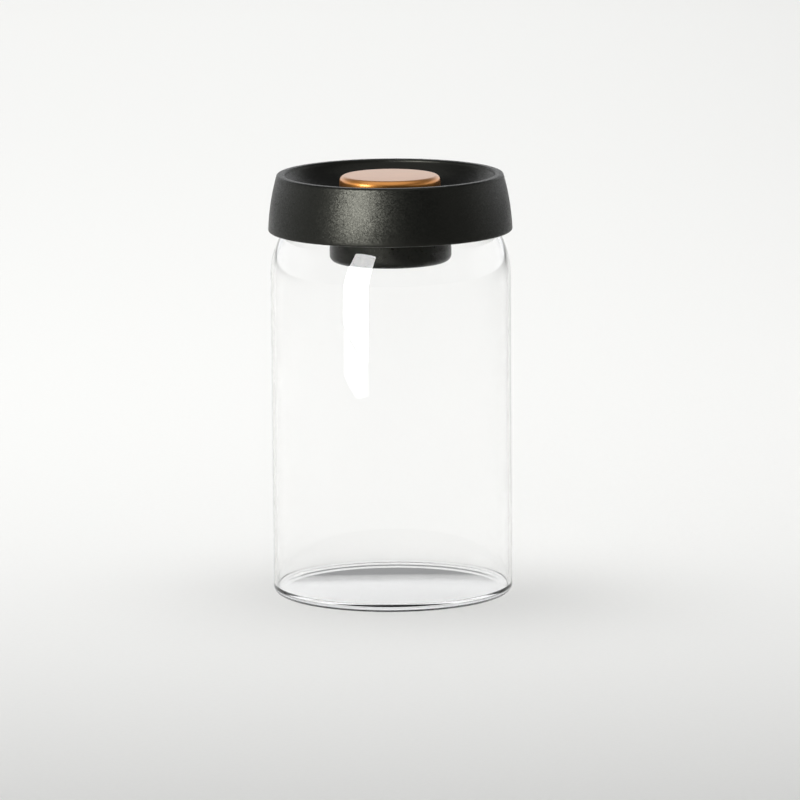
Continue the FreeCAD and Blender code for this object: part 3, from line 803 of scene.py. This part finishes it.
@dataclass
class PlugPlate:
    """What fills the jar's mouth: the plug plate with its vent spigot, and the finned gasket."""

    bottom: float
    bore: float = 0.0265
    lip_radius: float = 0.04255
    lip_height: float = 0.002
    plug_radius: float = 0.04155
    plug_inner: float = 0.03855
    plate: float = 0.003
    flange_rise: float = 0.0098
    flange_radius: float = 0.047
    flange: float = 0.0018
    edge: float = 0.0004
    spigot_circle: float = 0.033
    spigot_radius: float = 0.0022
    spigot_bore: float = 0.0013
    spigot_rise: float = 0.0166
    gasket_gap: float = 0.00005
    gasket_outer: float = 0.0428
    gasket_flange: float = 0.0464
    gasket_thick: float = 0.001
    fin_radius: float = 0.0442
    fin_half: float = 0.0006
    fin_rises: tuple[float, float] = (0.0036, 0.006)
    fin_round: float = 0.0002

    def build(self, finishes: Finishes) -> None:
        """Mould the plug plate and its gasket.

        Args:
            finishes: The materials.
        """
        foot, edge = self.bottom, self.edge
        under, top = foot + self.flange_rise, foot + self.flange_rise + self.flange
        section = (
            Outline().to(self.bore, foot + edge).bow(self.bore + edge, foot, edge, Side.LEFT, 4)
            .to(self.lip_radius - edge, foot).bow(self.lip_radius, foot + edge, edge, Side.LEFT, 4)
            .to(self.lip_radius, foot + self.lip_height).to(self.plug_radius, foot + self.lip_height)
            .to(self.plug_radius, under).to(self.flange_radius, under).to(self.flange_radius, top)
            .to(self.plug_inner, top).to(self.plug_inner, foot + self.plate)
            .to(self.bore, foot + self.plate).close()
        )
        plate = Lathe().turn("plug_plate", section)
        place = (0, -self.spigot_circle)
        spigot = rod(self.spigot_radius, foot + self.plate / 2, foot + self.spigot_rise)
        combine(plate, Lathe(steps=48).turn("vent_spigot", spigot, place), "UNION")
        hole = rod(self.spigot_bore, foot - self.plate, foot + self.spigot_rise + self.plate)
        combine(plate, Lathe(steps=48).turn("spigot_hole", hole, place), "DIFFERENCE")
        finishes.dress(plate, Slot.BLACK, Body.LID, "lid_base")
        self.build_gasket(finishes, foot + self.lip_height, under)

    def build_gasket(self, finishes: Finishes, foot: float, top: float) -> None:
        """Mould the gasket with its rounded fins.

        Args:
            finishes: The materials.
            foot: The height of its foot.
            top: The height of its flange's upper face.
        """
        inner, outer, tip = self.plug_radius + self.gasket_gap, self.gasket_outer, self.fin_round
        section = Outline().to(inner, foot).to(outer, foot)
        for rise in self.fin_rises:
            middle = self.bottom + rise
            section.to(outer, middle - self.fin_half).to(self.fin_radius - tip, middle - tip)
            section.bow(self.fin_radius - tip, middle + tip, tip * math.sqrt(2), Side.LEFT, 6)
            section.to(outer, middle + self.fin_half)
        under, edge = top - self.gasket_thick, self.gasket_flange
        section.to(outer, under).to(edge - tip, under).bow(edge, under + tip, tip, Side.LEFT, 4)
        section.to(edge, top).to(inner, top).close()
        finishes.dress(
            Lathe().turn("mouth_seal", section), Slot.SILICONE, Body.LID, "mouth_gasket",
        )


@dataclass
class PumpBarrel:
    """The black cup under the lid, with its vented floor, and the perforated guard in its underside."""

    bottom: float
    top: float
    radius: float = 0.0262
    bore: float = 0.0242
    corner: float = 0.003
    flange_rise: float = 0.0169
    flange_radius: float = 0.03
    flange: float = 0.002
    floor: float = 0.003
    recess: float = 0.013
    recess_depth: float = 0.0044
    recess_edge: float = 0.0004
    web: float = 0.002
    plateau: float = 0.015
    vent_circle: float = 0.004
    vent_radius: float = 0.0009
    vent_count: int = 6
    stem_hole: float = 0.0016
    guard_gap: float = 0.00005
    guard_inset: float = 0.0003
    guard_thick: float = 0.0012
    guard_edge: float = 0.0003
    hole_circle: float = 0.0085
    hole_radius: float = 0.0013
    hole_count: int = 8

    def build(self, finishes: Finishes) -> None:
        """Mould the cup and its guard.

        Args:
            finishes: The materials.
        """
        foot, corner, edge = self.bottom, self.corner, self.recess_edge
        shelf, web_bottom = foot + self.flange_rise, foot + self.recess_depth
        web_top = web_bottom + self.web
        section = (
            Outline().to(0, web_bottom).to(self.recess, web_bottom).to(self.recess, foot + edge)
            .bow(self.recess + edge, foot, edge, Side.LEFT, 5)
            .to(self.radius - corner, foot).bow(self.radius, foot + corner, corner, Side.LEFT, 16)
            .to(self.radius, shelf).to(self.flange_radius, shelf)
            .to(self.flange_radius, shelf + self.flange).to(self.radius, shelf + self.flange)
            .to(self.radius, self.top).to(self.bore, self.top).to(self.bore, foot + self.floor)
            .to(self.plateau, foot + self.floor).to(self.plateau, web_top).to(0, web_top)
        )
        cup = Lathe().turn("pump_cup", section)
        vent = rod(self.vent_radius, web_bottom - self.web, web_top + self.web)
        vents = ring_of(Lathe(steps=24).turn("cup_vent", vent, (self.vent_circle, 0)), self.vent_count)
        combine(cup, vents, "DIFFERENCE")
        stem = rod(self.stem_hole, web_bottom - self.web, web_top + self.web)
        combine(cup, Lathe(steps=32).turn("cup_stem_hole", stem), "DIFFERENCE")
        finishes.dress(cup, Slot.BLACK, Body.LID, "pump_cylinder")
        self.build_guard(finishes, foot + self.guard_inset)

    def build_guard(self, finishes: Finishes, foot: float) -> None:
        """Mould the guard and drill its ring of holes.

        Args:
            finishes: The materials.
            foot: The height of its lower face.
        """
        edge, ease, top = self.recess - self.guard_gap, self.guard_edge, foot + self.guard_thick
        section = (
            Outline().to(0, foot).to(edge - ease, foot).bow(edge, foot + ease, ease, Side.LEFT, 5)
            .to(edge, top).to(0, top)
        )
        guard = Lathe(steps=96).turn("cup_guard", section)
        hole = rod(self.hole_radius, foot - self.guard_thick, top + self.guard_thick)
        holes = ring_of(Lathe(steps=32).turn("guard_hole", hole, (self.hole_circle, 0)), self.hole_count)
        combine(guard, holes, "DIFFERENCE")
        finishes.dress(guard, Slot.BLACK, Body.LID, "intake_grille")


@dataclass
class PressButton:
    """The copper-coloured cap, drawn from sheet, that is pressed to pump."""

    top: float
    bottom: float
    radius: float
    edge_round: float = 0.0025
    wall: float = 0.0012
    crown: float = 0.0013
    hem: float = 0.0003

    def build(self, finishes: Finishes) -> None:
        """Draw the cap.

        Args:
            finishes: The materials.
        """
        inner, bend = self.radius - self.wall, self.edge_round - self.wall
        under, hem = self.top - self.crown, self.hem
        section = (
            Outline().to(0, self.top).to(self.radius - self.edge_round, self.top)
            .bow(self.radius, self.top - self.edge_round, self.edge_round, Side.RIGHT, 16)
            .to(self.radius, self.bottom + hem)
            .bow(self.radius - hem, self.bottom, hem, Side.RIGHT, 4)
            .to(inner, self.bottom).to(inner, under - bend)
            .bow(inner - bend, under, bend, Side.LEFT, 8).to(0, under)
        )
        finishes.dress(
            Lathe().turn("copper_button", section), Slot.COPPER, Body.BUTTON, "press_button",
        )


@dataclass
class ReleasePlug:
    """The silicone plug in the dish that lets the air back in: disc, waist, knob and stem."""

    top: float
    bottom: float
    circle: float = 0.033
    disc: float = 0.0036
    disc_drop: float = 0.0037
    disc_thick: float = 0.0013
    disc_round: float = 0.0005
    waist: float = 0.0017
    waist_round: float = 0.0004
    knob: float = 0.0025
    knob_height: float = 0.0015
    knob_round: float = 0.0006
    dimple: float = 0.0012
    dimple_depth: float = 0.0003
    stem: float = 0.001

    def build(self, finishes: Finishes) -> None:
        """Mould the plug.

        Args:
            finishes: The materials.
        """
        seat, knob_foot = self.top - self.disc_drop, self.top - self.knob_height
        disc_top, ease, bend = seat + self.disc_thick, self.disc_round, self.waist_round
        round_off = self.knob_round
        hollow = (self.dimple ** 2 + self.dimple_depth ** 2) / (2 * self.dimple_depth)
        section = (
            Outline().to(0, self.bottom).to(self.stem / 2, self.bottom)
            .to(self.stem, self.bottom + self.stem / 2).to(self.stem, seat).to(self.disc, seat)
            .to(self.disc, disc_top - ease).bow(self.disc - ease, disc_top, ease, Side.LEFT, 6)
            .to(self.waist + bend, disc_top).bow(self.waist, disc_top + bend, bend, Side.RIGHT, 5)
            .to(self.waist, knob_foot - bend).bow(self.waist + bend, knob_foot, bend, Side.RIGHT, 5)
            .to(self.knob - round_off, knob_foot)
            .bow(self.knob, knob_foot + round_off, round_off, Side.LEFT, 6)
            .to(self.knob, self.top - round_off)
            .bow(self.knob - round_off, self.top, round_off, Side.LEFT, 6)
            .to(self.dimple, self.top).bow(0, self.top - self.dimple_depth, hollow, Side.RIGHT, 6)
        )
        plug = Lathe(steps=72).turn("air_release_plug", section, (0, -self.circle))
        finishes.dress(plug, Slot.SILICONE, Body.RELEASE, "release_plug")


@dataclass
class ReturnSpring:
    """The steel coil under the piston, wound step by step."""

    bottom: float
    top: float
    radius: float = 0.01665
    wire: float = 0.0013
    wire_sides: int = 14
    turns: int = 3
    steps: int = 40
    ease: float = 0.75
    stroke: float = 0.0082

    def build(self, finishes: Finishes) -> None:
        """Wind the coil.

        Args:
            finishes: The materials.
        """
        half, count = self.wire / 2, self.turns * self.steps
        deselect_all()
        bpy.ops.mesh.primitive_circle_add(
            vertices=self.wire_sides, radius=half, fill_type="NGON",
            location=(self.radius, 0, self.bottom + half), rotation=(math.pi / 2, 0, 0),
        )
        coil = bpy.context.object
        coil.name = "return_coil"
        bpy.ops.object.transform_apply(location=True, rotation=True, scale=True)
        bpy.ops.object.mode_set(mode="EDIT")
        bpy.ops.mesh.select_all(action="SELECT")
        travel = self.top - self.bottom - self.wire
        for index in range(count):
            step = travel * (self.share((index + 1) / count) - self.share(index / count))
            bpy.ops.mesh.extrude_region_move(TRANSFORM_OT_translate={"value": (0, 0, step)})
            bpy.ops.transform.rotate(
                value=FULL_TURN / self.steps, orient_axis="Z", center_override=(0, 0, 0),
            )
        bpy.ops.mesh.select_all(action="SELECT")
        bpy.ops.mesh.normals_make_consistent(inside=False)
        bpy.ops.object.mode_set(mode="OBJECT")
        smooth(coil)
        finishes.dress(coil, Slot.STEEL, Body.LID, "return_spring")
        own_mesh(coil)

    def share(self, way: float) -> float:
        """Ease the wire's rise, so that its end turns lie flatter.

        Args:
            way: The share of the turns, 0 to 1.

        Returns:
            The share of the height that the wire has climbed.
        """
        return way - self.ease * math.sin(FULL_TURN * way) / FULL_TURN


KEPT_NODES: dict[str, Slot] = {
    "button_core": Slot.BLACK,
    "piston": Slot.BLACK,
    "piston_seal": Slot.SILICONE,
    "cylinder_seal": Slot.SILICONE,
    "exhaust_valve": Slot.SILICONE,
    "intake_valve": Slot.SILICONE,
    "lid_screws": Slot.STEEL,
    "piston_screws": Slot.STEEL,
}


class Target(str, Enum):
    """The pieces that some lights are kept on or off."""

    FLOOR = "paper_floor"
    GLASS = "jar_glass"
    BUTTON = "copper_button"


class Reach(str, Enum):
    """Whether a light falls on its targets alone or on all else."""

    ONLY = "INCLUDE"
    ALL_BUT = "EXCLUDE"


@dataclass(frozen=True)
class SoftBox:
    """A soft area light: its place, aim, size, brightness, what it falls on and what shades it."""

    name: str
    place: tuple[float, float, float]
    aim: tuple[float, float, float]
    width: float
    height: float
    radiance: float
    reach: Reach
    targets: tuple[Target, ...]
    lean: float = 0.0
    spread: float = math.pi
    shaded: bool = True

    def build(self) -> None:
        """Hang the light."""
        toward = Vector(self.aim) - Vector(self.place)
        turn = toward.to_track_quat("-Z", "Y") @ Quaternion((0, 0, 1), self.lean)
        bpy.ops.object.light_add(type="AREA", location=self.place, rotation=turn.to_euler())
        lamp = bpy.context.object
        lamp.name = self.name
        lamp.data.shape = "RECTANGLE"
        lamp.data.size, lamp.data.size_y = self.width, self.height
        lamp.data.energy = self.radiance * math.pi * self.width * self.height
        lamp.data.spread = self.spread
        lamp.visible_camera = lamp.visible_transmission = False
        group = bpy.data.collections.new(f"{self.name}_targets")
        for target in self.targets:
            group.objects.link(bpy.data.objects[target.value])
        lamp.light_linking.receiver_collection = group
        for member in group.collection_objects:
            member.light_linking.link_state = self.reach.value
        if not self.shaded:
            lamp.light_linking.blocker_collection = group


@dataclass
class Studio:
    """A pale floor under soft boxes, in a room that is bright behind the part and dim in front."""

    floor_half: float = 8.0
    paper: tuple[float, float, float] = (0.80, 0.80, 0.785)
    paper_fibre: float = 0.002
    paper_shade: float = 0.985
    paper_gloss: float = 0.85
    paper_specular: float = 0.2
    room: tuple[float, float, float] = (0.98, 0.99, 1.0)
    front_light: float = 0.04
    back_light: float = 1.05
    front_edge: float = -0.5
    back_edge: float = 0.2
    wall_top: float = 0.3
    wall_fade: float = 0.55
    ceiling_share: float = 0.12
    boxes: tuple[SoftBox, ...] = (
        SoftBox(
            "key_box", (-0.283, -0.471, 0.32), (0, 0, 0.32), 0.27, 0.26, 31.0,
            Reach.ALL_BUT, (Target.FLOOR, Target.GLASS, Target.BUTTON),
        ),
        SoftBox(
            "low_key_box", (-0.296, -0.464, 0.095), (0, 0, 0.095), 0.29, 0.19, 2.0,
            Reach.ALL_BUT, (Target.FLOOR, Target.GLASS, Target.BUTTON),
        ),
        SoftBox(
            "button_box", (-0.48, -0.275, 0.3), (0, 0, 0.18), 0.12, 0.26, 19.0,
            Reach.ONLY, (Target.BUTTON,),
        ),
        SoftBox(
            "strip_box", (-0.275, -0.476, 0.31), (0, 0, 0.31), 0.228, 0.56, 42.0,
            Reach.ONLY, (Target.GLASS,), lean=math.radians(-5.8),
        ),
        SoftBox(
            "strip_foot_box", (-0.296, -0.464, 0.015), (0, 0, 0.015), 0.228, 0.03, 6.0,
            Reach.ONLY, (Target.GLASS,), lean=math.radians(-5.8),
        ),
        SoftBox(
            "overhead_box", (-0.1, -0.3, 1.5), (0, 0, 0.15), 2.0, 2.0, 0.8,
            Reach.ALL_BUT, (Target.FLOOR, Target.GLASS),
        ),
        SoftBox(
            "right_fill_box", (1.0, -0.6, 0.6), (0, 0, 0.1), 0.4, 0.9, 0.5,
            Reach.ALL_BUT, (Target.FLOOR,),
        ),
        SoftBox(
            "floor_box", (-0.38, 1.37, 1.4), (-0.38, 1.37, 0), 2.6, 3.8, 0.985,
            Reach.ONLY, (Target.FLOOR,), spread=math.radians(82), shaded=False,
        ),
        SoftBox(
            "shadow_box", (-0.6, 0.3, 1.5), (0.0, -0.05, 0), 0.8, 0.8, 1.2,
            Reach.ONLY, (Target.FLOOR,),
        ),
    )

    def build(self) -> None:
        """Lay the floor, hang the lights and set the room's light."""
        deselect_all()
        bpy.ops.mesh.primitive_plane_add(size=2 * self.floor_half)
        floor = bpy.context.object
        floor.name = Target.FLOOR.value
        recipe = Recipe("matt_paper")
        recipe.set(Roughness=self.paper_gloss, Specular_IOR_Level=self.paper_specular)
        fibres = recipe.noise(self.paper_fibre, detail=3)
        shade = tuple(self.paper_shade * part for part in self.paper)
        recipe.feed("Base Color", recipe.shades(fibres, shade, self.paper))
        floor.data.materials.append(recipe.material)
        for box in self.boxes:
            box.build()
        self.light_room()
        bpy.context.scene.view_settings.view_transform = "Standard"

    def light_room(self) -> None:
        """Make the room's wall bright behind the part, and its front and ceiling dim."""
        world = bpy.data.worlds.new("studio_room")
        world.use_nodes = True
        nodes, links = world.node_tree.nodes, world.node_tree.links
        background = nodes["Background"]
        background.inputs["Color"].default_value = (*self.room, 1)
        parts = nodes.new("ShaderNodeSeparateXYZ")
        links.new(nodes.new("ShaderNodeTexCoord").outputs["Generated"], parts.inputs["Vector"])
        fades = {
            "Y": (self.front_edge, self.back_edge, self.front_light, self.back_light),
            "Z": (self.wall_top, self.wall_fade, 1, self.ceiling_share),
        }
        product = nodes.new("ShaderNodeMath")
        product.operation = "MULTIPLY"
        for target, (part, limits) in zip(product.inputs, fades.items()):
            fade = nodes.new("ShaderNodeMapRange")
            fade.interpolation_type = "SMOOTHSTEP"
            for name, value in zip(("From Min", "From Max", "To Min", "To Max"), limits):
                fade.inputs[name].default_value = value
            links.new(parts.outputs[part], fade.inputs["Value"])
            links.new(fade.outputs["Result"], target)
        links.new(product.outputs["Value"], background.inputs["Strength"])
        bpy.context.scene.world = world


@dataclass
class PhotoCamera:
    """The camera at the photograph's place."""

    target: tuple[float, float, float] = (0, 0, 0.091)
    distance: float = 2.885
    elevation: float = math.radians(9.6)
    roll: float = 0.008
    aside: float = 0.003645
    below: float = 0.00758
    lens: float = 300.96
    sensor: float = 36.0

    def build(self) -> None:
        """Stand the camera up and make it the scene's."""
        back = Vector((0, -math.cos(self.elevation), math.sin(self.elevation)))
        across = Vector((1, 0, 0))
        up = back.cross(across)
        right = across * math.cos(self.roll) - up * math.sin(self.roll)
        up = across * math.sin(self.roll) + up * math.cos(self.roll)
        place = Vector(self.target) + back * self.distance
        aim = Vector(self.target) + right * self.aside - up * self.below
        away = (place - aim).normalized()
        right = up.cross(away).normalized()
        up = away.cross(right)
        turn = Matrix((right, up, away)).transposed().to_4x4()
        bpy.ops.object.camera_add()
        camera = bpy.context.object
        camera.name = "photo_camera"
        camera.matrix_world = Matrix.Translation(place) @ turn
        camera.data.lens = self.lens
        camera.data.sensor_width = self.sensor
        bpy.context.scene.camera = camera


def height_of(node: str) -> tuple[float, float]:
    """Measure how high a CAD node stands.

    Args:
        node: The node's name.

    Returns:
        The heights of its lowest and its highest point.
    """
    low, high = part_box(node)
    return float(low[2]), float(high[2])


def main() -> None:
    """Build and dress the sub-assemblies, then the studio and the camera."""
    logging.basicConfig(level=logging.INFO)
    finishes = Finishes()
    lid_bottom, lid_top = height_of("lid_shell")
    cup_bottom, cup_top = height_of("pump_cylinder")
    button_bottom, button_top = height_of("press_button")
    plug_bottom, plug_top = height_of("release_plug")
    coil_bottom, coil_top = height_of("return_spring")
    GlassJar().build(finishes)
    LidCover(lid_top, lid_bottom, float(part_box("lid_shell")[1][0])).build(finishes)
    PlugPlate(height_of("lid_base")[0]).build(finishes)
    PumpBarrel(cup_bottom, cup_top).build(finishes)
    PressButton(button_top, button_bottom, float(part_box("press_button")[1][0])).build(finishes)
    ReleasePlug(plug_top, plug_bottom).build(finishes)
    ReturnSpring(coil_bottom, coil_top).build(finishes)
    for node, slot in KEPT_NODES.items():
        finishes.dress_node(node, slot)
    Studio().build()
    PhotoCamera().build()


if __name__ == "__main__":
    main()
